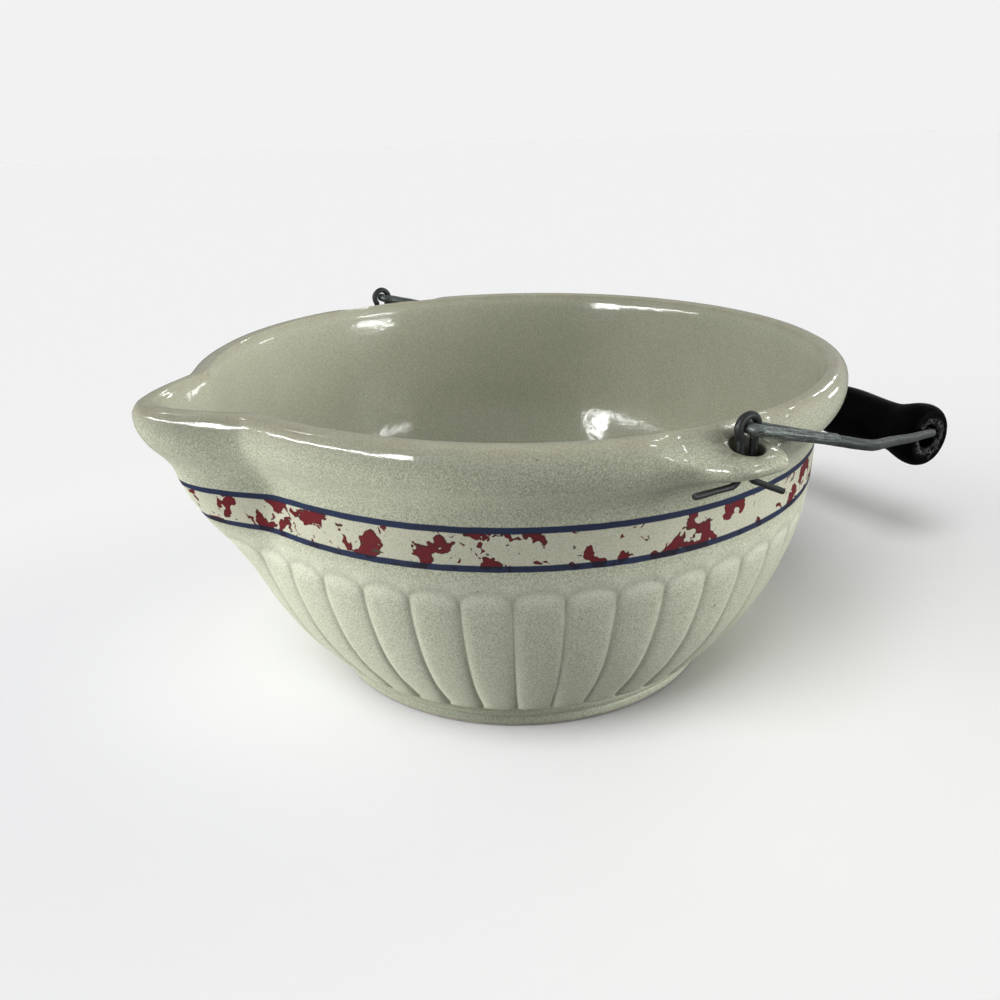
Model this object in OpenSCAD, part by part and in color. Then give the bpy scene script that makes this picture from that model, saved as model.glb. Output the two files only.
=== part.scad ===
// Batter bowl with a pouring beak, two pierced ears and a swinging wire bail with a turned grip.
// Millimetres. +Z is up, the origin is the centre of the foot ring on the table.
// The beak points to -X, the ears lie on +Y and -Y, and the bail hangs down towards +X.

/* [Bowl] */
// Outside diameter of the rim, the beak and ears left out
rim_d = 230; // [220:1:240]
// Height of the rim above the table
bowl_h = 113; // [108:1:118]
// Outside diameter of the foot ring
foot_d = 144; // [136:1:150]
// Depth of the hollow inside the foot ring
foot_hollow = 5; // [4:0.5:5.5]
// Height of the inside floor at its centre
floor_z = 12.5; // [11:0.5:14]
// Thickness of the side wall
wall_t = 4; // [3.5:0.25:6]

/* [Petals] */
// Number of upright petals around the lower body
petal_n = 44; // [36:2:50]
// Depth of the grooves between the petals
groove_depth = 1.1; // [0.4:0.1:1.6]
// Turn of the petals around the bowl
petal_turn = 0.9; // [0:0.1:8]

/* [Pouring beak] */
// How far the tip stands out from the rim circle
beak_out = 19; // [12:1:24]
// Half angle that the beak takes at the rim
beak_half = 15; // [12:1:20]
// Height that the rim gains towards the beak
beak_lift = 0.9; // [0:0.1:3]

/* [Ears] */
// Radius at which the ear holes stand
ear_hole_pos = 118.5; // [117.5:0.5:120]
// Diameter of the ear holes
ear_hole_d = 9.2; // [8.6:0.1:9.6]
// How far the ears stand out from the rim circle
ear_out = 12.6; // [12.2:0.1:14]
// Half width of an ear
ear_half_w = 12; // [11.5:0.1:13]

/* [Staples] */
// Wire diameter of the cotter staples
staple_wire = 2.5; // [2:0.1:2.6]
// Radius of the eye, at the middle of its wire
eye_r = 3.35; // [3.3:0.05:3.5]
// Length of the two bent legs under the ear
leg_len = 15; // [10:1:18]

/* [Bail] */
// Wire diameter of the bail
bail_wire_d = 3.4; // [3:0.1:3.4]
// Length of the folded end of the wire
fold_len = 33.5; // [25:0.5:38]
// Distance from the pivots at which the bail bends inward
shoulder_s = 53; // [45:0.5:60]
// How far the arms spread between the pivots and that bend
splay = 2.5; // [2:0.1:3]
// Distance from the pivots to the wire through the grip
bail_reach = 189.7; // [186:0.1:200]
// Angle by which the resting bail hangs below level
drop_angle = 16.8; // [16:0.1:20]

/* [Grip] */
// Length of the turned grip
grip_len = 91; // [80:1:91]
// Largest radius near the ends
grip_end_r = 13.8; // [12:0.1:14.5]
// Radius of the two necks
grip_neck_r = 10.4; // [9:0.1:11]
// Radius of the barrel between them
grip_mid_r = 11.9; // [11:0.1:13]
// Diameter of the hole through the grip
grip_bore_d = 10; // [9.6:0.1:11]
// How far the grip hangs below the wire
grip_hang = 2.4; // [1.8:0.1:2.6]

/* [Hidden] */

kr = rim_d / 230;
kz = bowl_h / 113;
ear_dr = rim_d / 2 - 115;
hole_r = ear_hole_d / 2;
pivot_y = ear_hole_pos + ear_dr;
pivot_z = bowl_h + 1;
strand_r = bail_wire_d / 2;
leg_r = staple_wire / 2;
glaze = [0.70, 0.72, 0.62];
steel = [0.27, 0.28, 0.29];
black = [0.05, 0.05, 0.055];

// ---- shape of the bowl ----------------------------------------------------

// Angle from the beak, 0 to 180
function off_beak(a) = abs(((a % 360) + 360) % 360 - 180);
// Sharp hill that falls to zero at 1, with a rounded top and a soft skirt
function soft(q) = (q + sqrt(q * q + 0.0256)) / 2;
function hill(t) = let (e = 0.3, b = 1 - (sqrt(t * t + e * e) - e) / (sqrt(1 + e * e) - e))
    (soft(b) - soft(-3)) / (soft(1) - soft(-3));
// How far the beak pushes the wall out, as a share of its reach, over the height
function beak_share(z) = lookup(z / kz, [[44, 0], [62, 0.2], [76, 0.6], [88, 0.87], [96, 0.91], [103, 0.94], [110, 1]]);
function beak_width(z) = beak_half * lookup(z / kz, [[60, 0.7], [76, 0.95], [88, 1.1], [110, 1]]);
// Side dents where the wall is drawn in next to the beak
function beak_dent(t, z) = 2 * min(1, max(0, (z / kz - 60) / 50)) * exp(-pow((t - 33) / 25, 2));
function beak(a, z) = let (t = off_beak(a))
    beak_out * beak_share(z) * hill(t / beak_width(z)) - beak_dent(t, z);
function lift(a, z) = beak_lift * exp(-pow(off_beak(a) / 45, 2)) * min(1, max(0, (z / kz - 95) / 15));

// Distance along the rim from the nearer ear's middle, and the ear's share there
function off_ear(a) = ear_hole_pos * PI / 180 * min(abs(((a - 90) % 360 + 540) % 360 - 180), abs(((a + 90) % 360 + 540) % 360 - 180));
function ear_share(a) = 1 / (1 + pow(off_ear(a) / ear_half_w, 5));
function ear_rise(a) = 1 / (1 + pow(off_ear(a) / (ear_half_w + 4), 6));
// Share of the hollow at each side of an ear, where the rim is drawn down under the resting bail
function hollow(a) = exp(-pow((off_ear(a) - ear_half_w - 3) / 7.5, 2)) * sqrt(1 - ear_share(a));

// Share of the groove at an angle, and over the height
pitch = 360 / petal_n;
function groove(a) = let (q = ((a - petal_turn) % pitch + pitch) % pitch, d = min(q, pitch - q))
    max(0, 1 - d / (pitch / 3));
function groove_z(z) = lookup(z / kz, [[10.5, 0], [11.5, 1.3], [30, 1], [60, 1], [65, 0.75], [68.5, 0]]);

// Outside and rim: radius, height, ear radius gain, ear height gain (for an ear that stands out 12.6), hollow
skin = [
    [71.0, 5.0, 0, 0, 0], [74.2, 6.4, 0, 0, 0], [74.8, 8.2, 0, 0, 0], [74.6, 10.2, 0, 0, 0],
    [79.0, 11.8, 0, 0, 0], [83.5, 17.5, 0, 0, 0], [88.8, 24.5, 0, 0, 0], [93.6, 32.0, 0, 0, 0],
    [98.0, 40.5, 0, 0, 0], [101.6, 50.0, 0, 0, 0], [104.0, 58.0, 0, 0, 0], [105.2, 64.5, 0, 0, 0],
    [105.9, 69.0, 0, 0, 0], [106.4, 79.0, 0, 0, 0], [106.7, 89.0, 0, 0, 0], [107.6, 93.0, 0.4, 0, 0],
    [109.8, 96.6, 1.8, 1.2, 0], [112.6, 99.8, 8.9, 1.0, 0], [114.5, 103.6, 12.1, -0.6, 0],
    [115.0, 107.2, 12.6, -1.8, 0.5], [114.4, 110.4, 10.4, -2.8, 1], [112.9, 112.3, 5.3, -3.5, 1],
    [110.8, 113.0, 0.7, -1.5, 0.6]];
// Inside, from the rim down to the floor
inner = [[108.6, 112.2], [106.6, 110.0], [105.3, 106.0], [103.8, 92.0], [102.2, 77.0], [100.4, 65.0],
    [98.3, 56.0], [94.9, 46.0], [89.9, 36.0], [81.5, 26.0], [70.0, 19.2], [54.0, 15.2], [30.0, 12.9]];

// Angles: three to a petal, closer at the ears and at the beak
half_n = petal_n * 3 / 2;
step = 120 / petal_n;
function near(a) = off_ear(a) < 20 || off_beak(a) < 14;
seg = [for (k = [0:half_n - 1]) [for (j = [2 * k, 2 * k + 1]) for (h = [0, 0.5])
    let (a = petal_turn + (j + h) * step) if (h == 0 || near(a)) a]];
th = [for (s = seg) each s];
n = len(th);
function first(k) = k == 0 ? 0 : first(k - 1) + len(seg[k - 1]);
at = [for (k = [0:half_n]) first(k)];

function out_pt(p, a) = let (e = ear_share(a), z0 = p[1] * kz, g = groove_depth * groove(a) * groove_z(z0),
    d = p[4] * hollow(a), r = p[0] * kr - g + beak(a, z0) + p[2] * ear_out / 12.6 * e - d,
    z = z0 + p[3] * ear_rise(a) - 2.8 * d + lift(a, z0))
    [r * cos(a), r * sin(a), z];
function in_pt(p, a) = let (z0 = p[1] > 100 ? p[1] * kz : floor_z + (p[1] - 12.5) * (bowl_h - floor_z) / 100.5,
    thin = (p[1] > 100 || p[1] < 20) ? 0 : wall_t - 4,
    r = p[0] * kr - thin + 0.97 * beak(a, z0), z = z0 + lift(a, z0))
    [r * cos(a), r * sin(a), z];

module clay() {
    m = len(skin);
    w = len(inner);
    o = m * n;
    pts = concat(
        [for (p = skin) for (a = th) out_pt(p, a)],
        [for (p = inner) for (k = [0:half_n - 1]) in_pt(p, th[at[k]])],
        [[0, 0, floor_z]]);
    faces = concat(
        [[for (i = [0:n - 1]) i]],
        [for (j = [0:m - 2]) for (i = [0:n - 1]) let (i2 = (i + 1) % n)
            each [[j * n + i, (j + 1) * n + i, j * n + i2], [(j + 1) * n + i, (j + 1) * n + i2, j * n + i2]]],
        [for (k = [0:half_n - 1]) let (c = len(seg[k]), h = floor(c / 2), k2 = (k + 1) % half_n, b = (m - 1) * n)
            each concat(
                [for (q = [0:c - 1]) [b + (at[k] + q) % n, o + (q < h ? k : k2), b + (at[k] + q + 1) % n]],
                [[b + (at[k] + h) % n, o + k, o + k2]])],
        [for (j = [0:w - 2]) for (k = [0:half_n - 1]) let (k2 = (k + 1) % half_n)
            each [[o + j * half_n + k, o + (j + 1) * half_n + k, o + j * half_n + k2],
                  [o + (j + 1) * half_n + k, o + (j + 1) * half_n + k2, o + j * half_n + k2]]],
        [for (k = [0:half_n - 1]) [o + (w - 1) * half_n + k, o + w * half_n, o + (w - 1) * half_n + (k + 1) % half_n]]);
    polyhedron(points = pts, faces = faces, convexity = 6);
}

// Foot ring, let into the floor of the body, with a fine groove under the bead
module foot_ring() {
    f = foot_d / 2;
    rotate_extrude($fn = 120)
        polygon([[f - 10, foot_hollow + 2], [f - 10, 1.0], [f - 9, 0], [f - 1.3, 0], [f, 1.3],
                 [f, 3.6], [f - 0.6, 4.3], [f - 1.8, 4.6], [f - 1.8, foot_hollow + 2]]);
}

module bowl() {
    color(glaze) difference() {
        union() {
            clay();
            foot_ring();
        }
        for (s = [-1, 1]) translate([0, s * pivot_y, bowl_h - 20]) cylinder(h = 40, r = hole_r, $fn = 48);
    }
}

// ---- cotter staples -------------------------------------------------------

// One round rod from p to q
module rod(p, q, r) {
    d = q - p;
    l = norm(d);
    translate(p) rotate([0, acos(d[2] / l), atan2(d[1], d[0])]) cylinder(h = l, r = r, $fn = 32);
}

// Bent wire: an arc of radius turn from angle a0 over span degrees, flat in XY
module arc(turn, a0, span, r) {
    rotate([0, 0, a0]) rotate_extrude(angle = span, $fn = 96) translate([turn, 0]) circle(r = r, $fn = 32);
}

// Where a bend runs into a straight length of wire, along d
module joint(p, r, d) {
    translate(p) rotate([0, 90, atan2(d[1], d[0])]) cylinder(h = 0.5, r = r * 1.03, center = true, $fn = 32);
}

leg_x = 2.4;
throat = 3;
throat_z = sqrt(pow(eye_r + throat, 2) - pow(leg_x + throat, 2));
throat_a = atan2(throat_z, leg_x + throat);
leg_turn = 2.4;
// Each leg: side, height of its bend's middle below the pivot, angle that it is bent through
legs = [[-1, bowl_h - 12.3 - pivot_z, 90], [1, bowl_h - 12.6 - pivot_z, 64]];

// A closed eye above the ear, two legs down through the ear hole, bent apart underneath
module staple() {
    color(steel) rotate([90, 0, 0]) {
        arc(eye_r, -throat_a, 180 + 2 * throat_a, leg_r);
        for (k = legs) let (s = k[0], low = k[1], bend = k[2]) {
            joint([s * eye_r * cos(throat_a), -eye_r * sin(throat_a), 0], leg_r, [s * sin(throat_a), cos(throat_a)]);
            translate([s * (leg_x + throat), -throat_z, 0])
                arc(throat, s > 0 ? 180 - throat_a : 0, throat_a, leg_r);
            joint([s * leg_x, -throat_z, 0], leg_r, [0, 1]);
            rod([s * leg_x, -throat_z, 0], [s * leg_x, low, 0], leg_r);
            joint([s * leg_x, low, 0], leg_r, [0, 1]);
            translate([s * (leg_x + leg_turn), low, 0])
                arc(leg_turn, s > 0 ? 180 : -bend, bend, leg_r);
            let (q = [s * (leg_x + leg_turn - leg_turn * cos(bend)), low - leg_turn * sin(bend), 0]) {
                joint(q, leg_r, [s * sin(bend), -cos(bend)]);
                rod(q, q + (leg_len - leg_turn) * [s * sin(bend), -cos(bend), 0], leg_r);
            }
        }
    }
}

module left_ear_staple() { translate([0, -pivot_y, pivot_z]) staple(); }
module right_ear_staple() { translate([0, pivot_y, pivot_z]) staple(); }

// ---- bail -----------------------------------------------------------------

hook_r = eye_r;
corner_y = grip_len / 2 + 1;
open_a = atan2(splay, shoulder_s - hook_r);
arm_x = hook_r + hook_r * sin(open_a);
arm_y = pivot_y - hook_r * cos(open_a);
bend_y = arm_y + (shoulder_s - arm_x) * tan(open_a);
slant = atan2(bend_y - corner_y, bail_reach - shoulder_s);
turn_a = 30;
turn_b = 7;
tan_a = turn_a * tan((open_a + slant) / 2);
tan_b = turn_b * tan((90 - slant) / 2);
dir_a = [cos(open_a), sin(open_a), 0];
dir_b = [cos(slant), -sin(slant), 0];
// The folded end leans in towards the arm and up
fold_in = 1.75;
fold_up = 0.7;

// One side of the bail, s = 1 or -1, lying level, with the pivot on the origin's Y line
module bail_side(s) {
    a0 = [arm_x, s * arm_y, 0];
    a1 = [shoulder_s - tan_a * dir_a[0], s * (bend_y - tan_a * dir_a[1]), 0];
    mid = [a1[0] + turn_a * dir_a[1], a1[1] - s * turn_a * dir_a[0], 0];
    b0 = [shoulder_s + tan_a * dir_b[0], s * (bend_y + tan_a * dir_b[1]), 0];
    b1 = [bail_reach - tan_b * dir_b[0], s * (corner_y - tan_b * dir_b[1]), 0];
    // hook through the staple's eye
    translate([hook_r, s * pivot_y, 0]) arc(hook_r, s > 0 ? 90 : 90 - open_a, 180 + open_a, strand_r);
    // end folded back beside the arm
    joint([hook_r, s * (pivot_y + hook_r), 0], strand_r, [1, 0]);
    rod([hook_r, s * (pivot_y + hook_r), 0], [fold_len, s * (pivot_y + hook_r - fold_in), fold_up], strand_r);
    // straight arm, shoulder bend, slanted arm, bend into the grip
    joint(a0, strand_r, [dir_a[0], s * dir_a[1]]);
    rod(a0, a1, strand_r);
    joint(a1, strand_r, [dir_a[0], s * dir_a[1]]);
    translate(mid) arc(turn_a, s > 0 ? 90 - slant : -90 - open_a, slant + open_a, strand_r);
    joint(b0, strand_r, [dir_b[0], s * dir_b[1]]);
    rod(b0, b1, strand_r);
    joint(b1, strand_r, [dir_b[0], s * dir_b[1]]);
    translate([bail_reach - turn_b, s * (corner_y - tan_b), 0]) arc(turn_b, s > 0 ? 0 : slant - 90, 90 - slant, strand_r);
    joint([bail_reach, s * (corner_y - tan_b), 0], strand_r, [0, 1]);
}

module bail_wire() {
    color(steel) translate([0, 0, pivot_z]) rotate([0, drop_angle, 0]) {
        for (s = [-1, 1]) bail_side(s);
        rod([bail_reach, corner_y - tan_b, 0], [bail_reach, tan_b - corner_y, 0], strand_r);
    }
}

// ---- grip -----------------------------------------------------------------

grip_x = bail_reach * cos(drop_angle);
grip_z = pivot_z - bail_reach * sin(drop_angle) - grip_hang;
half_len = grip_len / 2;
neck_y = half_len - 20.5;
swell_y = half_len - 5;
function turned(y) = y < neck_y ? grip_neck_r + (grip_mid_r - grip_neck_r) * (1 + cos(180 * y / neck_y)) / 2
    : y < swell_y ? grip_neck_r + (grip_end_r - grip_neck_r) * (1 - cos(180 * (y - neck_y) / (swell_y - neck_y))) / 2
    : grip_end_r - 3 * (1 - sqrt(max(0, 1 - pow((y - swell_y) / 5, 2))));

module grip() {
    mouth = grip_bore_d / 2 + 1.2;
    bore = grip_bore_d / 2;
    ys = concat([for (i = [0:8]) i * neck_y / 8], [for (i = [1:7]) neck_y + i * (swell_y - neck_y) / 7],
        [for (i = [1:6]) swell_y + 5 * sin(i * 15)]);
    color(black) translate([grip_x, 0, grip_z]) rotate([90, 0, 0]) rotate_extrude($fn = 96)
        polygon(concat(
            [[bore, -half_len + 2], [mouth, -half_len]],
            [for (i = [len(ys) - 1:-1:1]) [turned(ys[i]), -ys[i]]],
            [for (y = ys) [turned(y), y]],
            [[mouth, half_len], [bore, half_len - 2]]));
}

bowl();
left_ear_staple();
right_ear_staple();
bail_wire();
grip();
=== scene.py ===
import math

import bmesh
import bpy
import numpy as np
from mathutils import Matrix, Vector
from mathutils.bvhtree import BVHTree


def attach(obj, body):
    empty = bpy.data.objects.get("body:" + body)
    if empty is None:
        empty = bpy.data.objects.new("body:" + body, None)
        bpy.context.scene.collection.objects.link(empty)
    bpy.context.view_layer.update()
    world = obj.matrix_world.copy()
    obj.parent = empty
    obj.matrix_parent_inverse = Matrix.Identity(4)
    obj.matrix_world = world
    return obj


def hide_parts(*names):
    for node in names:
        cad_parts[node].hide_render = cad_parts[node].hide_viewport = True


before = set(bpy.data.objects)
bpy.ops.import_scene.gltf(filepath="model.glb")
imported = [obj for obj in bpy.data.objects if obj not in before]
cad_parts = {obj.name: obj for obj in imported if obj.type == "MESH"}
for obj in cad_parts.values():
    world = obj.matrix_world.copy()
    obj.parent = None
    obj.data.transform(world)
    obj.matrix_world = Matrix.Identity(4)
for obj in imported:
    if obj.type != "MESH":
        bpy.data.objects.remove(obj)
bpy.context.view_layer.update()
MM = 0.001
PI = math.pi

# ---------------------------------------------------------------------------
# sizes shared with the CAD part, in millimetres
# ---------------------------------------------------------------------------
PETALS, TURN = 44, 0.9
PITCH = 360.0 / PETALS
EAR_R, EAR_HALF, HOLE_R = 118.5, 12.0, 4.6
PIVOT_Z = 114.0
DROP = math.radians(16.8)
REACH, SHOULDER, SPLAY, FOLD = 189.7, 53.0, 2.5, 33.5
EYE_R, LEG_R, WIRE_R = 3.35, 1.25, 1.7
GRIP_LEN, GRIP_END, GRIP_NECK, GRIP_MID, BORE = 91.0, 13.8, 10.4, 11.9, 5.0
GRIP_X, GRIP_Z = REACH * math.cos(DROP), PIVOT_Z - REACH * math.sin(DROP) - 2.4
LINE_HI, LINE_LO, LINE_W = 87.6, 76.0, 2.0


def wrap(a):
    return (a + 180.0) % 360.0 - 180.0


def off_beak(a):
    return np.abs(wrap(a - 180.0))


def soft(q):
    return (q + np.sqrt(q * q + 0.0256)) / 2


def hill(t):
    e = 0.3
    b = 1 - (np.sqrt(t * t + e * e) - e) / (math.sqrt(1 + e * e) - e)
    return (soft(b) - soft(-3.0)) / (soft(1.0) - soft(-3.0))


def table(x, pairs):
    return np.interp(x, [p[0] for p in pairs], [p[1] for p in pairs])


def beak(a, z):
    share = table(z, [(44, 0), (53, 0.06), (62, 0.2), (69, 0.4), (76, 0.6), (82, 0.75), (88, 0.87), (96, 0.91), (103, 0.94), (110, 1)])
    width = 15.0 * table(z, [(60, 0.7), (76, 0.95), (88, 1.1), (110, 1)])
    t = off_beak(a)
    dent = 2 * np.clip((z - 60) / 50, 0, 1) * np.exp(-(((t - 33) / 25) ** 2))
    return 19.0 * share * hill(t / width) - dent


def lift(a, z):
    return 0.9 * np.exp(-((off_beak(a) / 45) ** 2)) * np.clip((z - 95) / 15, 0, 1)


def off_ear(a):
    return EAR_R * PI / 180 * np.minimum(np.abs(wrap(a - 90)), np.abs(wrap(a + 90)))


def ear_share(a):
    return 1 / (1 + (off_ear(a) / EAR_HALF) ** 5)


def ear_rise(a):
    return 1 / (1 + (off_ear(a) / (EAR_HALF + 4)) ** 6)


def hollow(a):
    """Share of the hollow at each side of an ear, where the rim is drawn down under the resting bail."""
    return np.exp(-(((off_ear(a) - EAR_HALF - 3) / 7.5) ** 2)) * np.sqrt(1 - ear_share(a))


# ---------------------------------------------------------------------------
# curve helpers
# ---------------------------------------------------------------------------
def dense_curve(pts, per=24):
    """Centripetal Catmull-Rom through pts (rows of any width; the first two columns set the spacing)."""
    p = np.array(pts, float)
    p = np.vstack([2 * p[0] - p[1], p, 2 * p[-1] - p[-2]])
    out = []
    for i in range(1, len(p) - 2):
        q = p[i - 1:i + 3]
        t = [0.0]
        for j in range(3):
            t.append(t[-1] + max(1e-6, np.linalg.norm(q[j + 1][:2] - q[j][:2])) ** 0.5)
        for u in np.linspace(t[1], t[2], per, endpoint=False):
            a = [(t[j + 1] - u) / (t[j + 1] - t[j]) * q[j] + (u - t[j]) / (t[j + 1] - t[j]) * q[j + 1] for j in range(3)]
            b = [(t[j + 2] - u) / (t[j + 2] - t[j]) * a[j] + (u - t[j]) / (t[j + 2] - t[j]) * a[j + 1] for j in range(2)]
            out.append((t[2] - u) / (t[2] - t[1]) * b[0] + (u - t[1]) / (t[2] - t[1]) * b[1])
    out.append(p[-2])
    return np.array(out)


def smoothed(p, rounds):
    for _ in range(rounds):
        q = p.copy()
        q[1:-1] = (p[:-2] + 2 * p[1:-1] + p[2:]) / 4
        p = q
    return p


def respaced(p, spacing):
    """Points along p so that they stand spacing(point) apart."""
    d = np.linalg.norm(np.diff(p[:, :2], axis=0), axis=1)
    mid = (p[1:] + p[:-1]) / 2
    w = np.concatenate([[0], np.cumsum(d / np.array([spacing(m) for m in mid]))])
    n = max(2, int(round(w[-1])) + 1)
    at = np.linspace(0, w[-1], n)
    return np.stack([np.interp(at, w, p[:, k]) for k in range(p.shape[1])], axis=1)


def waves(seed, n, scale):
    """Smooth seeded unevenness of about 1, a function of points in millimetres."""
    rng = np.random.default_rng(seed)
    d = rng.normal(size=(n, 3))
    d /= np.linalg.norm(d, axis=1)[:, None]
    f = 2 * PI / (scale * rng.uniform(0.7, 1.6, n))
    ph = rng.uniform(0, 2 * PI, n)
    return lambda p: np.sin((p @ d.T) * f + ph).sum(axis=-1) / math.sqrt(n)


def new_object(name, verts, faces, smooth=True):
    me = bpy.data.meshes.new(name)
    me.from_pydata([tuple(v) for v in np.asarray(verts) * MM], [], faces)
    me.validate()
    me.update()
    if smooth:
        me.polygons.foreach_set("use_smooth", [True] * len(me.polygons))
    ob = bpy.data.objects.new(name, me)
    bpy.context.scene.collection.objects.link(ob)
    return ob


def point_values(ob, name, values):
    at = ob.data.attributes.new(name, "FLOAT", "POINT")
    at.data.foreach_set("value", np.asarray(values, np.float32))


# ---------------------------------------------------------------------------
# the bowl
# ---------------------------------------------------------------------------
# radius, height, ear radius gain, ear height gain, hollow beside the ear
FOOT = [(60.0, 5.0), (61.4, 4.85), (61.9, 4.2), (62.1, 1.4), (62.5, 0.35), (63.4, 0.0), (66.8, 0.0), (70.3, 0.0), (71.4, 0.4), (71.95, 1.4),
        (72.0, 3.3), (71.6, 4.3), (70.7, 4.8), (70.9, 5.35), (72.6, 5.65), (74.1, 6.3), (74.8, 7.3), (74.95, 8.3), (74.75, 9.3), (74.1, 10.1),
        (74.6, 10.75), (76.6, 11.05), (78.4, 11.5), (79.5, 12.5)]
FOOT = [row + (0, 0, 0) for row in FOOT]
WALL = [(79.5, 12.5, 0, 0, 0), (83.5, 17.5, 0, 0, 0), (88.8, 24.5, 0, 0, 0), (93.6, 32.0, 0, 0, 0), (98.0, 40.5, 0, 0, 0), (101.6, 50.0, 0, 0, 0),
        (104.0, 58.0, 0, 0, 0), (105.2, 64.5, 0, 0, 0), (105.9, 69.0, 0, 0, 0), (106.4, 79.0, 0, 0, 0), (106.7, 89.0, 0, 0, 0), (107.6, 93.0, 0.4, 0, 0),
        (109.8, 96.6, 1.8, 1.2, 0), (112.6, 99.8, 8.9, 1.0, 0), (114.5, 103.6, 12.1, -0.6, 0), (115.0, 107.2, 12.6, -1.8, 0.5),
        (114.4, 110.4, 10.4, -2.8, 1), (112.9, 112.3, 5.3, -3.5, 1), (110.9, 112.95, 0.7, -1.5, 0.6), (109.5, 112.9, 0, -0.3, 0.3)]
RIM_IN = [(109.5, 112.9, 0, -0.3, 0.3), (108.6, 112.8, 0, 0, 0.15), (108.0, 112.85, 0, 0, 0.05), (107.6, 112.6, 0, 0, 0), (107.45, 112.0, 0, 0, 0)]
INNER = [(107.45, 112.0), (107.1, 111.4), (106.75, 110.7), (106.35, 109.8), (106.05, 108.9), (105.86, 108.0), (105.7, 107.0), (105.55, 106.0),
         (105.27, 104.0), (105.0, 102.0), (104.77, 100.0), (104.56, 98.0), (104.27, 95.0), (103.78, 90.0), (103.25, 85.0), (102.67, 80.0),
         (102.04, 75.0), (101.35, 70.0), (100.72, 66.0), (100.1, 63.0), (99.3, 60.0), (98.3, 57.0), (97.15, 54.0), (95.9, 51.0), (94.6, 48.0),
         (93.25, 45.0), (91.85, 42.0), (90.4, 39.0), (88.8, 36.0), (86.3, 32.0), (83.1, 28.0), (80.1, 25.0), (76.1, 22.0), (71.0, 19.5),
         (64.6, 17.4), (56.6, 15.6), (47.6, 14.3), (37.6, 13.3), (26.0, 12.8), (13.0, 12.55), (3.0, 12.5)]


def petal_relief(a, z):
    """How far the wall drops below the petals' crowns, and how much of that is groove (0 to 1)."""
    x = (np.abs(((a - TURN) / PITCH) % 1.0 - 0.5)) * PITCH * PI / 180 * 104.0
    half = PITCH * PI / 180 * 104.0 / 2
    zc, rise = 64.0, 4.3
    up = np.maximum(z - zc, 0)
    f = np.sqrt((x / half) ** 2 + (up / rise) ** 2)
    grad = np.sqrt((x / half ** 2) ** 2 + (up / rise ** 2) ** 2) + 1e-9
    d = np.where(z < zc, x - half, (f - 1) * f / grad)
    d = np.clip(d, -half, 6.0)
    low = np.clip((24 - z) / 12, 0, 1)
    deep = 0.42 + 0.26 * np.clip((52 - z) / 18, 0, 1) + 0.6 * low
    wide = 1.1 + 0.45 * low
    inside = np.exp(-((np.maximum(-d, 0) / wide) ** 1.25))
    fillet = np.exp(-((np.maximum(d, 0) / 2.1) ** 1.6))
    v = np.where(d < 0, inside, fillet)
    # the fillet over an arch is shallower than the grooves between petals
    v = v * np.where(z > zc, 1 - 0.28 * np.clip(up / rise, 0, 1), 1)
    crown = (0.17 + 0.25 * np.clip((36 - z) / 16, 0, 1)) * (x / half) ** 2 * np.clip((zc + 2 - z) / 6, 0, 1)
    gone = np.clip((z - 11.2) / 1.0, 0, 1) * np.clip((74 - z) / 3, 0, 1)
    return (deep * v + crown) * gone, v * gone


def bowl_angles():
    f = np.array([0, 0.045, 0.1, 0.165, 0.26, 0.43, 0.69, 1.0])
    one = np.concatenate([-f[::-1][:-1], f[:-1]])  # -1 .. just under 1, in half pitches
    a = np.concatenate([TURN + (k + o / 2) * PITCH for k in range(PETALS) for o in [one]])
    a = np.sort(a)
    extra = []
    for i in range(len(a)):
        b, c = a[i], a[(i + 1) % len(a)] + (360 if i + 1 == len(a) else 0)
        m = (b + c) / 2
        near = float(off_ear(np.array(m))) < 21 or float(off_beak(np.array(m))) < 9
        if near and (c - b) * PI / 180 * 112 > 1.3:
            extra.append(m)
    a = np.sort(np.concatenate([a, extra]))
    if len(a) % 2:
        a = np.sort(np.append(a, (a[0] + a[1]) / 2))
    return a


wobble_wall = waves(11, 14, 46.0)
wobble_fine = waves(12, 18, 17.0)


def outer_points(rows, a):
    """Rows of profile points swept over the angles a, and their groove share."""
    P, G = [], []
    e, rise, dip = ear_share(a), ear_rise(a), hollow(a)
    for r0, z0, er, ez, ek in rows:
        relief, share = petal_relief(a, np.full_like(a, z0))
        r = r0 - relief + beak(a, z0) + er * e - ek * dip
        z = z0 + ez * rise - 2.8 * ek * dip + lift(a, z0)
        c, s = np.cos(np.radians(a)), np.sin(np.radians(a))
        p = np.stack([r * c, r * s, z], axis=-1)
        if z0 > 12.5:
            w = 0.10 * wobble_wall(p) + 0.035 * wobble_fine(p)
            fade = min(1.0, (z0 - 12.5) / 8) * (1.0 if z0 < 112 else 0.3)
            r = r - abs(0.0) + w * fade - 0.16 * fade
            p = np.stack([r * c, r * s, z], axis=-1)
        P.append(p)
        G.append(share)
    return np.array(P), np.array(G)


def inner_points(rows, a):
    P = []
    for r0, z0 in rows:
        share = table(z0, [(40, 0.5), (70, 0.6), (86, 0.62), (92.5, 0.66), (99, 0.72), (106, 0.85), (110, 0.93), (112, 0.97)])
        r = r0 + share * beak(a, z0)
        z = z0 + lift(a, z0)
        c, s = np.cos(np.radians(a)), np.sin(np.radians(a))
        P.append(np.stack([r * c, r * s, z + 0 * a], axis=-1))
    P = np.array(P)
    return P


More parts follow.
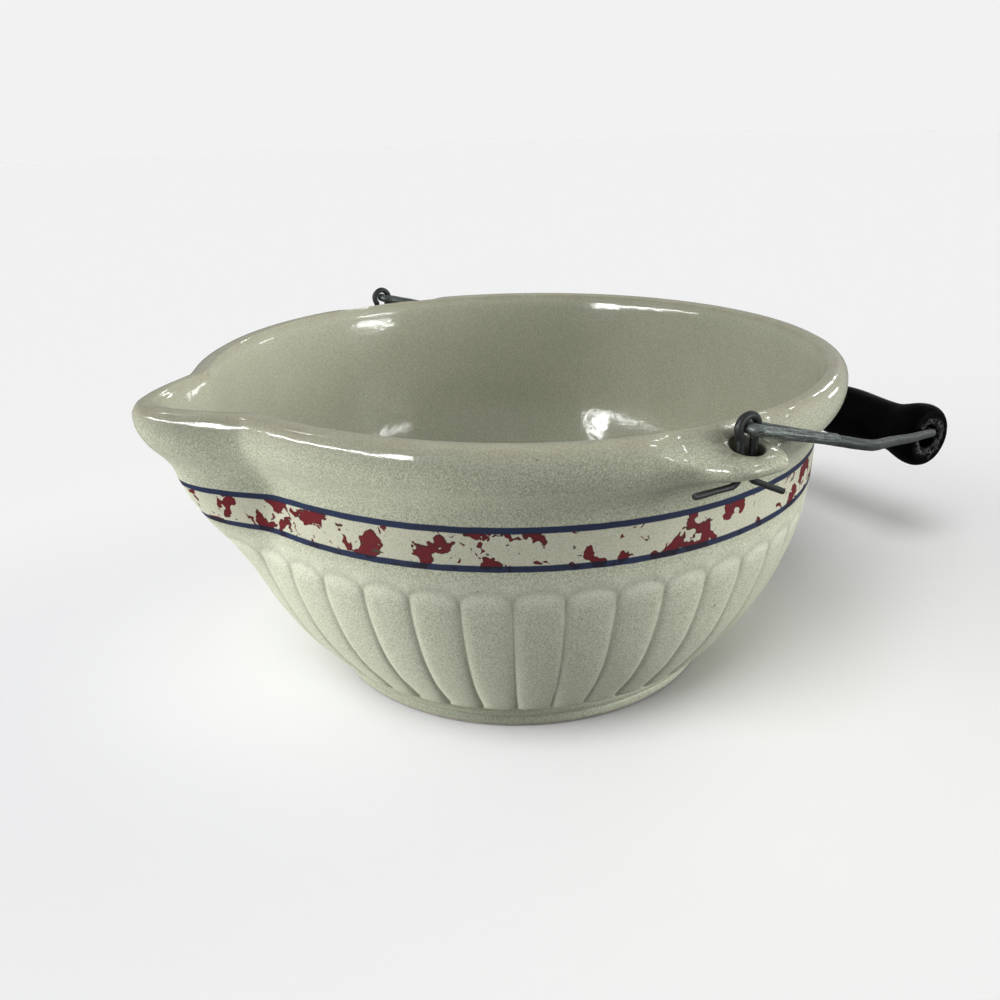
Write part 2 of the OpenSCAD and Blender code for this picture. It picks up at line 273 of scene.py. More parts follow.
def build_bowl():
    a = bowl_angles()
    n = len(a)
    foot = respaced(dense_curve(FOOT, 12), lambda m: 0.85 if m[1] > 0.4 or m[0] > 70 else 1.6)
    wall = smoothed(dense_curve(WALL, 30), 60)

    def gap(m):
        z = m[1]
        if z < 20:
            return 1.0
        if z < 61.5:
            return 2.9
        if z < 71:
            return 0.68
        if z < 74.5:
            return 1.0
        if z < 92:
            return 2.0
        return 1.25
    wall = respaced(wall, gap)
    rim = respaced(dense_curve(RIM_IN, 12), lambda m: 0.6)
    rows = np.vstack([foot[:-1], wall[:-1], rim])
    rows[:, 1] = np.maximum(rows[:, 1], 0)
    P, G = outer_points(rows, a)
    inner = respaced(smoothed(dense_curve(INNER, 16), 20), lambda m: 0.8 if m[1] > 109 else (2.5 if m[0] > 60 else 5.0))[1:]
    half = a[::2]
    Q = inner_points(inner, half)
    m, h = len(P), len(half)
    verts = [np.array([[0.0, 0.0, 5.0]]), P.reshape(-1, 3), Q.reshape(-1, 3), np.array([[0.0, 0.0, 12.5]])]
    V = np.vstack(verts)
    o, q0 = 1, 1 + m * n
    end = len(V) - 1
    faces = []
    for i in range(n):
        faces.append((0, o + (i + 1) % n, o + i))
    for j in range(m - 1):
        b, t = o + j * n, o + (j + 1) * n
        for i in range(n):
            k = (i + 1) % n
            faces.append((b + i, b + k, t + k, t + i))
    last = o + (m - 1) * n
    for i in range(h):
        k = (i + 1) % h
        faces.append((last + 2 * i, last + 2 * i + 1, q0 + i))
        faces.append((last + 2 * i + 1, last + (2 * i + 2) % n, q0 + k, q0 + i))
    w = len(Q)
    for j in range(w - 1):
        b, t = q0 + j * h, q0 + (j + 1) * h
        for i in range(h):
            k = (i + 1) % h
            faces.append((b + i, b + k, t + k, t + i))
    b = q0 + (w - 1) * h
    for i in range(h):
        faces.append((b + i, b + (i + 1) % h, end))
    ob = new_object("bowl_glazed", V, faces)
    groove = np.zeros(len(V))
    groove[o:q0] = G.reshape(-1)
    inside = np.zeros(len(V))
    inside[q0:] = 1.0
    inside[last:q0] = 1.0
    point_values(ob, "groove", groove)
    point_values(ob, "inside", inside)
    point_values(ob, "hole", np.zeros(len(V)))
    return ob


def ear_cutter(bowl, side):
    """A cutter for the ear hole whose mouths flare to follow the glaze, so that the hole has rounded lips."""
    tree = BVHTree.FromObject(bowl, bpy.context.evaluated_depsgraph_get())
    seg = 56

    def surface(x, y, down):
        z = 0.125 if down else 0.075
        hit = tree.ray_cast(Vector((x * MM, y * MM, z)), Vector((0, 0, -1 if down else 1)))
        return hit[0].z / MM

    rings = []
    for down, R in ((True, 0.75), (False, 0.7)):
        sgn = 1 if down else -1
        lip = [(R + 0.5, 0.75), (R + 0.12, 0.12)]
        lip += [(R * (1 - math.sin(f)), 0.04 - R * (1 - math.cos(f))) for f in np.radians([8, 24, 42, 60, 76, 90])]
        block = []
        for dr, dz in lip:
            ring = []
            for i in range(seg):
                t = 2 * PI * i / seg
                x0, y0 = (HOLE_R + R) * math.cos(t), side * EAR_R + (HOLE_R + R) * math.sin(t)
                z0 = surface(x0, y0, down)
                ring.append(((HOLE_R + dr) * math.cos(t), side * EAR_R + (HOLE_R + dr) * math.sin(t), z0 + sgn * dz))
            block.append(ring)
        rings += block if down else block[::-1]
    V = [p for r in rings for p in r]
    top = len(V)
    V.append((0, side * EAR_R, max(p[2] for p in rings[0])))
    V.append((0, side * EAR_R, min(p[2] for p in rings[-1])))
    F = []
    for j in range(len(rings) - 1):
        for i in range(seg):
            k = (i + 1) % seg
            F.append((j * seg + k, j * seg + i, (j + 1) * seg + i, (j + 1) * seg + k))
    for i in range(seg):
        k = (i + 1) % seg
        F.append((i, k, top))
        F.append(((len(rings) - 1) * seg + k, (len(rings) - 1) * seg + i, top + 1))
    cut = new_object("ear_cutter", V, F)
    point_values(cut, "groove", np.zeros(len(V)))
    point_values(cut, "inside", np.full(len(V), 0.6))
    point_values(cut, "hole", np.ones(len(V)))
    return cut


def cut_ears(ob):
    for side in (-1, 1):
        cut = ear_cutter(ob, side)
        mod = ob.modifiers.new("hole", "BOOLEAN")
        mod.operation = "DIFFERENCE"
        mod.solver = "EXACT"
        mod.object = cut
        dg = bpy.context.evaluated_depsgraph_get()
        me = bpy.data.meshes.new_from_object(ob.evaluated_get(dg))
        ob.modifiers.clear()
        old = ob.data
        ob.data = me
        bpy.data.meshes.remove(old)
        bpy.data.objects.remove(cut)
    me = ob.data
    me.polygons.foreach_set("use_smooth", [True] * len(me.polygons))
    me.set_sharp_from_angle(angle=math.radians(62))
    co = np.zeros(len(me.vertices) * 3, np.float32)
    me.vertices.foreach_get("co", co)
    co = co.reshape(-1, 3) / MM
    d = np.hypot(co[:, 0], np.abs(co[:, 1]) - EAR_R)
    me.attributes["hole"].data.foreach_set("value", np.clip((HOLE_R + 0.55 - d) / 0.5, 0, 1).astype(np.float32))
    print("bowl triangles", sum(len(p.vertices) - 2 for p in me.polygons))


# ---------------------------------------------------------------------------
# bent wire
# ---------------------------------------------------------------------------
def arc_points(centre, radius, a0, a1, step, axes=((1, 0, 0), (0, 1, 0))):
    n = max(3, int(abs(math.radians(a1 - a0)) * radius / step))
    u, v = np.array(axes[0], float), np.array(axes[1], float)
    return [np.array(centre) + radius * (math.cos(math.radians(t)) * u + math.sin(math.radians(t)) * v) for t in np.linspace(a0, a1, n)]


def line_points(p, q, step):
    p, q = np.array(p, float), np.array(q, float)
    n = max(2, int(np.linalg.norm(q - p) / step) + 1)
    return [p + (q - p) * t for t in np.linspace(0, 1, n)]


def clean_path(chunks):
    pts = [chunks[0][0]]
    for c in chunks:
        for p in c:
            if np.linalg.norm(p - pts[-1]) > 0.08:
                pts.append(np.array(p, float))
    return np.array(pts)


def tube(name, path, radius, seg=20, ends=(0.25, 0.25), flat=None, rough=0.0, seed=1):
    """Swept wire with flat, slightly rounded ends. Returns the object; attributes: along (mm), and cosine and sine of
    the angle around the wire.
    """
    n = len(path)
    tan = np.gradient(path, axis=0)
    tan /= np.linalg.norm(tan, axis=1)[:, None]
    ref = np.array([0.0, 0.0, 1.0]) if abs(tan[0][2]) < 0.9 else np.array([1.0, 0, 0])
    u = np.cross(tan[0], ref)
    u /= np.linalg.norm(u)
    us = [u]
    for i in range(1, n):
        w = us[-1] - tan[i] * np.dot(us[-1], tan[i])
        us.append(w / np.linalg.norm(w))
    us = np.array(us)
    vs = np.cross(tan, us)
    dist = np.concatenate([[0], np.cumsum(np.linalg.norm(np.diff(path, axis=0), axis=1))])
    th = np.linspace(0, 2 * PI, seg, endpoint=False)
    lump = waves(seed, 10, 5.0)
    rings, along, around = [], [], []

    def ring(i, k, shift):
        c = path[i] + tan[i] * shift
        dirs = us[i][None] * np.cos(th)[:, None] + vs[i][None] * np.sin(th)[:, None]
        rr = radius * k * (flat(dist[i], th) if flat else 1.0)
        p = c + dirs * np.reshape(rr * np.ones_like(th), (-1, 1))
        if rough:
            p = p - dirs * (rough * (0.5 + 0.5 * lump(p)))[:, None]
        return p

    e0, e1 = ends
    rings.append(ring(0, 0.55, 0.0))
    rings.append(ring(0, 1 - e0 / radius, 0.0))
    rings.append(ring(0, 1 - 0.3 * e0 / radius, 0.3 * e0))
    for i in range(n):
        if dist[i] > e0 and dist[-1] - dist[i] > e1:
            rings.append(ring(i, 1.0, 0.0))
            along.append(dist[i])
    rings.append(ring(n - 1, 1 - 0.3 * e1 / radius, -0.3 * e1))
    rings.append(ring(n - 1, 1 - e1 / radius, 0.0))
    rings.append(ring(n - 1, 0.55, 0.0))
    along = [0, 0, 0.1] + along + [dist[-1] - 0.1, dist[-1], dist[-1]]
    V = np.vstack(rings)
    m = len(rings)
    V = np.vstack([V, path[0][None], path[-1][None]])
    F = []
    for j in range(m - 1):
        for i in range(seg):
            k = (i + 1) % seg
            F.append((j * seg + i, j * seg + k, (j + 1) * seg + k, (j + 1) * seg + i))
    for i in range(seg):
        k = (i + 1) % seg
        F.append((m * seg, k, i))
        F.append((m * seg + 1, (m - 1) * seg + i, (m - 1) * seg + k))
    ob = new_object(name, V, F)
    ob.data.set_sharp_from_angle(angle=math.radians(48))
    point_values(ob, "along", list(np.repeat(along, seg)) + [0, dist[-1]])
    point_values(ob, "cosine", list(np.tile(np.cos(th), m)) + [0, 0])
    point_values(ob, "sine", list(np.tile(np.sin(th), m)) + [0, 0])
    return ob


def staple_path(side):
    """Eye above the ear and two legs bent apart under it, in the XZ plane through the ear hole."""
    leg_x, throat, turn = 2.4, 3.0, 2.4
    tz = math.sqrt((EYE_R + throat) ** 2 - (leg_x + throat) ** 2)
    ta = math.degrees(math.atan2(tz, leg_x + throat))
    ax = ((1, 0, 0), (0, 0, 1))

    def leg(s):
        low, leg_a = (113 - 12.6 - PIVOT_Z, 64) if s > 0 else (113 - 12.3 - PIVOT_Z, 90)
        c = np.array([s * (leg_x + turn), 0, low])
        if s > 0:
            bend = arc_points(c, turn, 180, 180 + leg_a, 0.45, ax)
        else:
            bend = arc_points(c, turn, 0, -leg_a, 0.45, ax)
        q = bend[-1]
        d = np.array([s * math.sin(math.radians(leg_a)), 0, -math.cos(math.radians(leg_a))])
        straight = line_points(q, q + (15 - turn) * d, 0.8)
        down = line_points((s * leg_x, 0, -tz), (s * leg_x, 0, low), 0.8)
        return down, bend, straight

    right, left = leg(1), leg(-1)
    throat_r = arc_points((leg_x + throat, 0, -tz), throat, 180 - ta, 180, 0.35, ax)
    throat_l = arc_points((-(leg_x + throat), 0, -tz), throat, ta, 0, 0.35, ax)
    eye = arc_points((0, 0, 0), EYE_R, -ta, 180 + ta, 0.4, ax)
    chunks = [left[2][::-1], left[1][::-1], left[0][::-1], throat_l[::-1], eye[::-1], throat_r, right[0], right[1], right[2]]
    p = clean_path(chunks)
    return p + np.array([0, side * EAR_R, PIVOT_Z])


def leg_flat(total):
    """The legs of a staple are half-round wire, slimmer than the doubled eye."""
    def share(d, th):
        slim = np.clip((16.5 - min(d, total - d)) / 3.0, 0, 1)
        return 1 - 0.2 * slim * np.ones_like(th)
    return share


def bail_path():
    hook, py, corner_y = EYE_R, EAR_R, GRIP_LEN / 2 + 1
    lean = math.atan2(SPLAY, SHOULDER - hook)
    arm_x, arm_y = hook + hook * math.sin(lean), py - hook * math.cos(lean)
    bend_y = arm_y + (SHOULDER - arm_x) * math.tan(lean)
    slant = math.atan2(bend_y - corner_y, REACH - SHOULDER)
    ta, tb = 30 * math.tan((slant + lean) / 2), 7 * math.tan((PI / 2 - slant) / 2)
    u, d = np.array([math.cos(lean), math.sin(lean), 0]), np.array([math.cos(slant), -math.sin(slant), 0])
    knee = np.array([SHOULDER, bend_y, 0])
    fold = line_points((FOLD, py + hook - 1.75, 0.7), (hook, py + hook, 0), 1.0)
    bend = arc_points((hook, py, 0), hook, 90, 270 + math.degrees(lean), 0.4)
    arm = line_points((arm_x, arm_y, 0), knee - ta * u, 1.5)
    middle = knee - ta * u + 30 * np.array([u[1], -u[0], 0])
    sh = arc_points(middle, 30, 90 + math.degrees(lean), 90 - math.degrees(slant), 1.2)
    sd = math.degrees(slant)
    p = knee + ta * d
    q = np.array([REACH - tb * d[0], corner_y - tb * d[1], 0])
    side = line_points(p, q, 2.0)
    corner = arc_points((REACH - 7, corner_y - tb, 0), 7, 90 - sd, 0, 0.6)
    rod = line_points((REACH, corner_y - tb, 0), (REACH, 0, 0), 2.5)
    one = clean_path([fold, bend, arm, sh, side, corner, rod])
    other = one[::-1][1:] * np.array([1, -1, 1])
    path = np.vstack([one, other])
    # hand-bent wire isn't perfectly straight
    d = np.concatenate([[0], np.cumsum(np.linalg.norm(np.diff(path, axis=0), axis=1))])
    total = d[-1]
    span = np.exp(-(((d - total * 0.27) / 55) ** 2)) + np.exp(-(((d - total * 0.73) / 55) ** 2))
    path[:, 2] += 0.35 * span * np.sin(d / 23.0)
    path[:, 1] += 0.25 * span * np.sin(d / 31.0 + 1.0)
    c, s = math.cos(DROP), math.sin(DROP)
    x, z = path[:, 0].copy(), path[:, 2].copy()
    path[:, 0] = x * c + z * s
    path[:, 2] = -x * s + z * c + PIVOT_Z
    return path


# ---------------------------------------------------------------------------
# turned grip
# ---------------------------------------------------------------------------
def turned(y):
    half = GRIP_LEN / 2
    neck, swell = half - 20.5, half - 5
    y = np.abs(y)
    a = GRIP_NECK + (GRIP_MID - GRIP_NECK) * (1 + np.cos(PI * y / neck)) / 2
    b = GRIP_NECK + (GRIP_END - GRIP_NECK) * (1 - np.cos(PI * (y - neck) / (swell - neck))) / 2
    c = GRIP_END - 3 * (1 - np.sqrt(np.clip(1 - ((y - swell) / 5) ** 2, 0, 1)))
    return np.where(y < neck, a, np.where(y < swell, b, c))


def build_grip():
    seg, half = 112, GRIP_LEN / 2
    # one closed profile: bore, chamfered mouth, end face, outside, and back
    prof = []
    for y in np.linspace(0, half - 2.4, 14):
        prof.append((BORE, y))
    mouth = BORE + 1.2
    for t in np.linspace(0, 1, 6)[1:]:
        prof.append((BORE + 1.2 * t ** 1.5, half - 2.4 + 2.1 * t))
    prof += [(mouth + 0.5, half - 0.08), (mouth + 1.3, half)]
    face = GRIP_END - 3.0
    for t in np.linspace(0, 1, 6)[1:]:
        prof.append((mouth + 1.3 + (face - mouth - 1.3 - 0.3) * t, half))
    for t in np.linspace(0.985, 0, 12):
        y = half - 5 + 5 * math.sin(t * PI / 2)
        prof.append((float(turned(y)) - 0.02, y))
    for y in np.linspace(half - 5, 0, 36)[1:]:
        prof.append((float(turned(y)), y))
    side = prof
    other = [(r, -y) for r, y in prof[::-1]][1:-1]
    ring = side + other
    m = len(ring)
    th = np.linspace(0, 2 * PI, seg, endpoint=False)
    chips = waves(71, 26, 5.5)
    fine = waves(72, 20, 2.2)
    lathe = waves(73, 12, 60.0)
    V, wear = [], []
    for r, y in ring:
        p = np.stack([r * np.cos(th), np.full_like(th, y), r * np.sin(th)], axis=-1)
        at_end = max(0.0, 1 - abs(half - abs(y)) / 3.4)
        near_mouth = max(0.0, 1 - abs(r - mouth) / 5.2)
        w = at_end * near_mouth
        bite = np.clip(chips(p) * 1.1 + fine(p) * 0.5 - 0.1, 0, 1.9) * w
        # chipped lip: material missing towards the outside of the bore and inwards from the face
        rr = r + (bite * 1.15 if r < mouth + 0.2 else 0)
        yy = y - math.copysign(1, y) * bite * 1.0 if abs(y) > half - 2.6 else y + 0 * th
        edge = max(0.0, 1 - abs(r - (GRIP_END - 1.6)) / 1.8) * at_end
        rr = rr - edge * np.clip(fine(p), 0, 1) * 0.18
        if r > BORE + 3:
            rr = rr + 0.05 * lathe(p) - 0.08
        V.append(np.stack([rr * np.cos(th), yy * np.ones_like(th), rr * np.sin(th)], axis=-1))
        wear.append(np.clip(w * 0.9 + bite * 0.6 + edge * 0.35, 0, 1) * np.ones_like(th))
    V = np.vstack(V) + np.array([GRIP_X, 0, GRIP_Z])
    F = []
    for j in range(m):
        k2 = (j + 1) % m
        for i in range(seg):
            k = (i + 1) % seg
            F.append((j * seg + i, j * seg + k, k2 * seg + k, k2 * seg + i))
    ob = new_object("grip_painted", V, F)
    point_values(ob, "wear", np.concatenate(wear))
    bm = bmesh.new()
    bm.from_mesh(ob.data)
    bmesh.ops.recalc_face_normals(bm, faces=bm.faces)
    bm.to_mesh(ob.data)
    bm.free()
    ob.data.set_sharp_from_angle(angle=math.radians(50))
    return ob


# ---------------------------------------------------------------------------
# node helpers
# ---------------------------------------------------------------------------
def lin(c):
    """sRGB 0-255 to linear."""
    out = []
    for v in c:
        v = v / 255
        out.append(v / 12.92 if v <= 0.04045 else ((v + 0.055) / 1.055) ** 2.4)
    return tuple(out) + (1.0,)


class Nodes:
    def __init__(self, name):
        self.mat = bpy.data.materials.new(name)
        self.mat.use_nodes = True
        self.t = self.mat.node_tree
        self.t.nodes.clear()
        self.out = self.t.nodes.new("ShaderNodeOutputMaterial")
        self.bsdf = self.t.nodes.new("ShaderNodeBsdfPrincipled")
        self.t.links.new(self.bsdf.outputs[0], self.out.inputs[0])

    def link(self, a, b):
        self.t.links.new(a, b)

    def put(self, node, key, value):
        if value is None:
            return
        s = node.inputs[key]
        if isinstance(value, bpy.types.NodeSocket):
            self.t.links.new(value, s)
        else:
            s.default_value = value

    def coord(self):
        return self.t.nodes.new("ShaderNodeTexCoord").outputs["Object"]

    def attr(self, name):
        n = self.t.nodes.new("ShaderNodeAttribute")
        n.attribute_name = name
        return n.outputs["Fac"]

    def math(self, op, a, b=None, c=None, clamp=False):
        n = self.t.nodes.new("ShaderNodeMath")
        n.operation = op
        n.use_clamp = clamp
        for i, v in enumerate((a, b, c)):
            self.put(n, i, v)
        return n.outputs[0]

    def vec(self, op, a, b=None, scale=None):
        n = self.t.nodes.new("ShaderNodeVectorMath")
        n.operation = op
        self.put(n, 0, a)
        self.put(n, 1, b)
        if scale is not None:
            self.put(n, "Scale", scale)
        return n.outputs["Value"] if op in ("LENGTH", "DISTANCE", "DOT_PRODUCT") else n.outputs["Vector"]

    def split(self, v):
        n = self.t.nodes.new("ShaderNodeSeparateXYZ")
        self.link(v, n.inputs[0])
        return n.outputs

    def join(self, x, y, z):
        n = self.t.nodes.new("ShaderNodeCombineXYZ")
        for i, v in enumerate((x, y, z)):
            self.put(n, i, v)
        return n.outputs[0]

    def noise(self, v, scale, detail=2.0, rough=0.5, distortion=0.0, color=False):
        n = self.t.nodes.new("ShaderNodeTexNoise")
        self.put(n, "Vector", v)
        n.inputs["Scale"].default_value = scale
        n.inputs["Detail"].default_value = detail
        n.inputs["Roughness"].default_value = rough
        n.inputs["Distortion"].default_value = distortion
        return n.outputs["Color" if color else "Fac"]

    def voronoi(self, v, scale, feature="F1", out="Distance", rand=1.0):
        n = self.t.nodes.new("ShaderNodeTexVoronoi")
        n.feature = feature
        self.put(n, "Vector", v)
        n.inputs["Scale"].default_value = scale
        n.inputs["Randomness"].default_value = rand
        return n.outputs[out]

    def ramp(self, v, stops, mode="LINEAR"):
        n = self.t.nodes.new("ShaderNodeValToRGB")
        n.color_ramp.interpolation = mode
        e = n.color_ramp.elements
        while len(e) < len(stops):
            e.new(0.5)
        for el, (p, c) in zip(e, stops):
            el.position = p
            el.color = c if isinstance(c, tuple) else (c, c, c, 1)
        self.link(v, n.inputs[0])
        return n.outputs[0]

    def remap(self, v, a, b, c=0.0, d=1.0, smooth=False):
        n = self.t.nodes.new("ShaderNodeMapRange")
        n.interpolation_type = "SMOOTHSTEP" if smooth else "LINEAR"
        n.clamp = True
        self.put(n, "Value", v)
        self.put(n, "From Min", a)
        self.put(n, "From Max", b)
        self.put(n, "To Min", c)
        self.put(n, "To Max", d)
        return n.outputs["Result"]

    def mix(self, f, a, b, mode="MIX"):
        n = self.t.nodes.new("ShaderNodeMix")
        n.data_type = "RGBA"
        n.blend_type = mode
        n.clamp_factor = True
        self.put(n, 0, f)
        self.put(n, 6, a)
        self.put(n, 7, b)
        return n.outputs[2]

    def blend(self, f, a, b):
        n = self.t.nodes.new("ShaderNodeMix")
        n.data_type = "FLOAT"
        self.put(n, 0, f)
        self.put(n, 2, a)
        self.put(n, 3, b)
        return n.outputs[0]

    def bump(self, height, strength, distance, normal=None):
        n = self.t.nodes.new("ShaderNodeBump")
        n.inputs["Strength"].default_value = strength
        n.inputs["Distance"].default_value = distance
        self.put(n, "Height", height)
        self.put(n, "Normal", normal)
        return n.outputs[0]

    def set(self, key, value):
        self.put(self.bsdf, key, value)


# ---------------------------------------------------------------------------
# materials
# ---------------------------------------------------------------------------
def glaze_material():
    m = Nodes("glazed_stoneware")
    co = m.coord()
    z = m.math("MULTIPLY", m.split(co)[2], 1000.0)
    inside = m.attr("inside")
    groove = m.attr("groove")

    # --- ground of the glaze: fine grain, faint clouds, iron specks
    grain = m.noise(co, 2050.0, 2.0, 0.6)
    mottle = m.noise(co, 420.0, 3.0, 0.55)
    cloud = m.noise(co, 38.0, 2.0, 0.5)
    base = m.ramp(cloud, [(0.3, lin((201, 205, 181))), (0.7, lin((208, 211, 189)))])
    base = m.mix(m.remap(mottle, 0.38, 0.66, 0.0, 0.22), base, lin((182, 184, 163)))
    base = m.mix(m.remap(grain, 0.47, 0.66, 0.0, 0.7), base, lin((147, 152, 121)))
    base = m.mix(m.remap(grain, 0.47, 0.34, 0.0, 0.65), base, lin((233, 235, 214)))
    wet = m.ramp(cloud, [(0.3, lin((179, 181, 162))), (0.7, lin((186, 187, 169)))])
    wet = m.mix(m.remap(grain, 0.46, 0.70, 0.0, 0.55), wet, lin((140, 141, 116)))
    wet = m.mix(m.remap(grain, 0.46, 0.32, 0.0, 0.5), wet, lin((210, 211, 188)))
    low = m.math("MULTIPLY", m.remap(z, 76.0, 66.0, smooth=True), m.remap(z, 10.0, 16.0))
    base = m.mix(m.math("MULTIPLY", low, m.remap(z, 60.0, 68.0, 0.28, 1.0, smooth=True)), base, m.mix(m.remap(grain, 0.42, 0.62), lin((243, 246, 226)), lin((212, 216, 192))))
    over = m.math("MAXIMUM", m.remap(inside, 0.15, 0.95, smooth=True), m.remap(z, 104.0, 112.0, 0.0, 0.85, smooth=True))
    base = m.mix(over, base, wet)
    # rim a touch browner where the glaze runs thin
    thin = m.math("MULTIPLY", m.remap(z, 109.8, 112.4), m.remap(m.noise(co, 90.0, 3.0), 0.35, 0.7, 0.2, 0.55))
    base = m.mix(thin, base, lin((160, 153, 128)))
    # painted shade: the ear holes are darkened inside, as if in shadow
    hole = m.math("MULTIPLY", m.attr("hole"), m.remap(m.noise(co, 260.0, 3.0), 0.3, 0.6, 0.6, 0.95))
    base = m.mix(hole, base, lin((30, 28, 24)))
    # the glaze around the ear holes is darker, most on their -x side
    away = m.math("ABSOLUTE", m.math("SUBTRACT", m.math("ABSOLUTE", m.split(co)[1]), EAR_R * MM))
    near = m.vec("LENGTH", m.join(m.split(co)[0], away, 0.0))
    grey = m.math("MULTIPLY", m.remap(near, 0.0045, 0.0125, 1.0, 0.0, smooth=True), m.remap(z, 100.0, 106.0))
    grey = m.math("MULTIPLY", grey, m.remap(m.noise(co, 330.0, 3.0), 0.3, 0.65, 0.35, 0.85))
    base = m.mix(m.math("MULTIPLY", grey, m.remap(m.split(co)[0], 0.004, -0.004, 0.35, 1.0)), base, lin((92, 89, 73)))
    # painted shade: the glaze is darkened towards the foot, as if in the contact shadow on the table
    base = m.mix(m.math("MULTIPLY", m.remap(z, 15.0, 9.0, smooth=True), 0.3), base, lin((138, 142, 122)))
    # painted light: the grooves are lightened against their own shade, and the fillets over the arches get a darker
    # painted shade
    arch = m.remap(z, 59.0, 64.5, smooth=True)
    base = m.mix(m.math("MULTIPLY", groove, m.blend(arch, m.remap(z, 34.0, 54.0, 0.3, 0.65, smooth=True), 0.5)), base, m.mix(arch, lin((206, 210, 188)), lin((142, 147, 120))))

    def specks(scale, size, amount, seed):
        shift = m.vec("ADD", co, (seed, seed * 0.7, seed * 1.3))
        d = m.voronoi(shift, scale)
        pick = m.split(m.voronoi(shift, scale, out="Color"))
        r = m.math("MULTIPLY", pick[0], size)
        on = m.math("GREATER_THAN", pick[1], 1 - amount)
        dot = m.remap(m.math("SUBTRACT", d, r), -0.02, 0.03, 1.0, 0.0)
        return m.math("MULTIPLY", dot, on)
    dark = specks(300.0, 0.10, 0.25, 3.1)
    base = m.mix(m.math("MULTIPLY", dark, 0.55), base, lin((104, 100, 82)))
    brown = specks(110.0, 0.06, 0.25, 7.7)
    base = m.mix(m.math("MULTIPLY", brown, 0.6), base, lin((104, 86, 64)))

    # --- banding: two blue lines with sponged red between them, on the outside only
    edge = m.math("MULTIPLY", m.math("SUBTRACT", m.noise(co, 160.0, 2.0), 0.5), 0.35)
    zz = m.math("ADD", z, edge)
    outside = m.remap(inside, 0.3, 0.7, 1.0, 0.0)
    radius = m.vec("LENGTH", m.vec("MULTIPLY", co, (1000, 1000, 0)))
    outside = m.math("MULTIPLY", outside, m.remap(radius, 101.5, 102.5))
    hi = m.remap(m.math("ABSOLUTE", m.math("SUBTRACT", zz, LINE_HI)), LINE_W / 2 - 0.1, LINE_W / 2 + 0.1, 1.0, 0.0)
    lo = m.remap(m.math("ABSOLUTE", m.math("SUBTRACT", zz, LINE_LO)), LINE_W / 2 - 0.1, LINE_W / 2 + 0.1, 1.0, 0.0)
    band = m.math("MULTIPLY", m.remap(zz, LINE_LO - 0.9, LINE_LO - 0.7), m.remap(zz, LINE_HI - 0.9, LINE_HI - 0.7, 1.0, 0.0))
    band = m.math("MULTIPLY", band, outside)
    slip = m.mix(m.remap(grain, 0.44, 0.70, 0.0, 0.35), lin((222, 221, 199)), lin((184, 184, 158)))
    base = m.mix(m.math("MULTIPLY", band, 0.7), base, slip)

    # cut-sponge pieces: a warped field over a threshold, torn at the edges
    warp = m.vec("SCALE", m.vec("SUBTRACT", m.noise(co, 210.0, 2.0, 0.6, color=True), (0.5, 0.5, 0.5)), scale=0.0075)
    p = m.vec("ADD", co, warp)
    big = m.noise(m.vec("ADD", m.vec("MULTIPLY", p, (1.0, 1.0, 1.25)), (4.0, 1.0, 2.0)), 118.0, 0.6, 0.5, 0.4)
    ragged = m.noise(co, 900.0, 2.0, 0.6)
    field = m.math("ADD", big, m.math("MULTIPLY", m.math("SUBTRACT", ragged, 0.5), 0.05))
    patch = m.noise(m.vec("ADD", co, (9.0, 3.0, 5.0)), 30.0, 1.0)
    cutoff = m.remap(patch, 0.3, 0.7, 0.60, 0.565)
    tilt = m.t.nodes.new("ShaderNodeVectorRotate")
    tilt.inputs["Axis"].default_value = (0.6, -0.8, 0.0)
    tilt.inputs["Angle"].default_value = math.radians(38)
    m.put(tilt, "Vector", p)
    torn = m.noise(m.vec("MULTIPLY", tilt.outputs[0], (1.0, 1.0, 0.42)), 250.0, 1.0, 0.5, 0.8)
    torn = m.math("ADD", torn, m.math("MULTIPLY", m.math("SUBTRACT", ragged, 0.5), 0.05))
    torn = m.math("SUBTRACT", torn, m.remap(patch, 0.40, 0.62, 0.74, 0.635))
    depth = m.math("MAXIMUM", m.math("SUBTRACT", field, cutoff), torn)
    red = m.math("MULTIPLY", m.remap(depth, -0.003, 0.003), band)
    sponge = m.ramp(m.remap(depth, 0.0, 0.06), [(0.0, lin((58, 42, 34))), (0.16, lin((78, 32, 30))), (0.4, lin((102, 23, 29))), (1.0, lin((112, 25, 33)))])
    sponge = m.mix(m.remap(ragged, 0.5, 0.75, 0.0, 0.2), sponge, lin((142, 50, 56)))
    base = m.mix(red, base, sponge)
    halo = m.math("MULTIPLY", m.remap(depth, -0.014, -0.003, 0.0, 0.35), band)
    base = m.mix(m.math("MULTIPLY", halo, m.math("SUBTRACT", 1.0, red)), base, lin((208, 176, 164)))
    # small olive slivers beside them
    crumb = m.noise(m.vec("ADD", m.vec("MULTIPLY", co, (1.0, 1.0, 1.6)), (2.0, 6.0, 1.0)), 330.0, 0.5, 0.5, 0.6)
    crumb = m.math("MULTIPLY", m.remap(crumb, 0.735, 0.75), m.math("MULTIPLY", band, m.remap(patch, 0.42, 0.5)))
    base = m.mix(m.math("MULTIPLY", crumb, 0.9), base, lin((74, 74, 56)))

    lines = m.math("MULTIPLY", m.math("MAXIMUM", hi, lo), outside)
    washed = m.noise(co, 70.0, 3.0, 0.6)
    blue = m.ramp(washed, [(0.25, lin((0, 25, 64))), (0.6, lin((0, 32, 78))), (0.85, lin((8, 43, 95)))])
    blue = m.mix(m.math("MULTIPLY", red, 0.85), blue, lin((26, 24, 40)))
    base = m.mix(m.math("MULTIPLY", lines, 0.97), base, blue)

